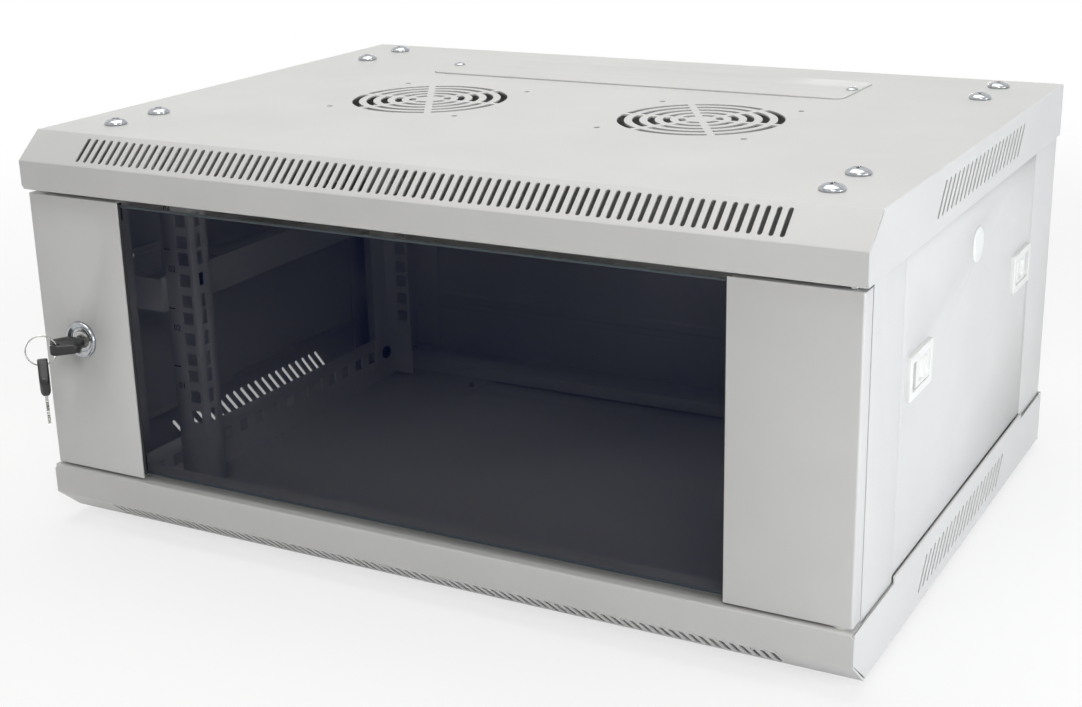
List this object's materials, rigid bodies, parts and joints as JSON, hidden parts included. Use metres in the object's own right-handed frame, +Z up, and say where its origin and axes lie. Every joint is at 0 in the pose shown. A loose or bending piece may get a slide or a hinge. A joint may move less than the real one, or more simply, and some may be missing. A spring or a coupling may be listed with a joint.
{
  "type": "wall mount network cabinet",
  "caption": "Low wall mount rack cabinet with a smoked glass door between steel stiles, key lock, vented folded covers, removable latched side panels and 19-inch rails.",
  "frame": {"origin": "middle of the rear wall face", "axes": "+Z up, +Y out of the back towards the wall, +X to the right seen from the front; the door faces -Y"},
  "size_m": [0.602, 0.4895, 0.289],
  "materials": {
    "grey_powder_coat": "fine textured",
    "white_plastic": "satin",
    "black_rubber": "matte",
    "chrome": "bright",
    "black_steel": "gloss",
    "smoked_glass": "clear",
    "black_plastic": "satin",
    "nylon": "satin",
    "plated_steel": "plated"
  },
  "bodies": {
    "cabinet": {"top_cover": "grey_powder_coat", "bottom_cover": "grey_powder_coat", "top_cable_plate": "grey_powder_coat", "bottom_cable_plate": "grey_powder_coat", "rear_panel": "grey_powder_coat", "rear_sill": "grey_powder_coat", "top_bolts": "chrome", "bottom_bolts": "chrome", "cable_plate_screws": "chrome", "rail_bolts": "black_steel", "hinge_washer": "nylon", "left_front_post": "grey_powder_coat", "left_rear_post": "grey_powder_coat", "left_lower_beam": "grey_powder_coat", "left_upper_beam": "grey_powder_coat", "left_mid_beam": "grey_powder_coat", "left_front_rail": "grey_powder_coat", "left_rear_rail": "grey_powder_coat", "right_front_post": "grey_powder_coat", "right_rear_post": "grey_powder_coat", "right_lower_beam": "grey_powder_coat", "right_upper_beam": "grey_powder_coat", "right_mid_beam": "grey_powder_coat", "right_front_rail": "grey_powder_coat", "right_rear_rail": "grey_powder_coat"},
    "left_panel": {"left_side_panel": "grey_powder_coat", "left_blanking_plug": "white_plastic", "left_front_latch_bezel": "white_plastic", "left_rear_latch_bezel": "white_plastic"},
    "left_front_latch": {"left_front_latch_slider": "white_plastic"},
    "left_rear_latch": {"left_rear_latch_slider": "white_plastic"},
    "right_panel": {"right_side_panel": "grey_powder_coat", "right_blanking_plug": "white_plastic", "right_front_latch_bezel": "white_plastic", "right_rear_latch_bezel": "white_plastic"},
    "right_front_latch": {"right_front_latch_slider": "white_plastic"},
    "right_rear_latch": {"right_rear_latch_slider": "white_plastic"},
    "door": {"left_door_stile": "grey_powder_coat", "right_door_stile": "grey_powder_coat", "door_glass": "smoked_glass", "left_door_gasket": "black_rubber", "right_door_gasket": "black_rubber", "glass_clips": "black_plastic", "top_hinge_pin": "chrome", "bottom_hinge_pin": "chrome", "lock_housing": "chrome", "lock_nut": "plated_steel"},
    "lock": {"lock_plug": "plated_steel", "lock_cam": "plated_steel", "cam_screw": "plated_steel"},
    "key": {"key_head": "black_plastic", "key_blade": "plated_steel"},
    "ring": {"key_ring": "plated_steel"},
    "spare_key": {"spare_key_head": "black_plastic", "spare_key_blade": "plated_steel"}
  },
  "joints": [
    {"name": "door_hinge", "type": "hinge", "parent": "cabinet", "child": "door", "pos_m": [0.2895, -0.44, 0], "axis": [0, 0, 1], "range_deg": [0, 175]},
    {"name": "lock_turn", "type": "hinge", "parent": "door", "child": "lock", "pos_m": [-0.263, -0.447, -0.002], "axis": [0, 1, 0], "range_deg": [0, 90]},
    {"name": "key_pull", "type": "slide", "parent": "lock", "child": "key", "axis": [0, -1, 0], "range_m": [0, 0.03]},
    {"name": "ring_swing", "type": "hinge", "parent": "key", "child": "ring", "pos_m": [-0.263, -0.4715, -0.002], "axis": [0, 0, 1], "range_deg": [-30, 30]},
    {"name": "spare_key_swing", "type": "hinge", "parent": "ring", "child": "spare_key", "pos_m": [-0.27042, -0.47892, -0.0125], "axis": [-0.7071, -0.7071, 0], "range_deg": [-28, 28]},
    {"name": "left_panel_off", "type": "slide", "parent": "cabinet", "child": "left_panel", "axis": [-1, 0, 0], "range_m": [0, 0.15]},
    {"name": "left_front_latch_slide", "type": "slide", "parent": "left_panel", "child": "left_front_latch", "axis": [0, -1, 0], "range_m": [0, 0.008]},
    {"name": "left_rear_latch_slide", "type": "slide", "parent": "left_panel", "child": "left_rear_latch", "axis": [0, 1, 0], "range_m": [0, 0.008]},
    {"name": "right_panel_off", "type": "slide", "parent": "cabinet", "child": "right_panel", "axis": [1, 0, 0], "range_m": [0, 0.15]},
    {"name": "right_front_latch_slide", "type": "slide", "parent": "right_panel", "child": "right_front_latch", "axis": [0, -1, 0], "range_m": [0, 0.008]},
    {"name": "right_rear_latch_slide", "type": "slide", "parent": "right_panel", "child": "right_rear_latch", "axis": [0, 1, 0], "range_m": [0, 0.008]}
  ]
}
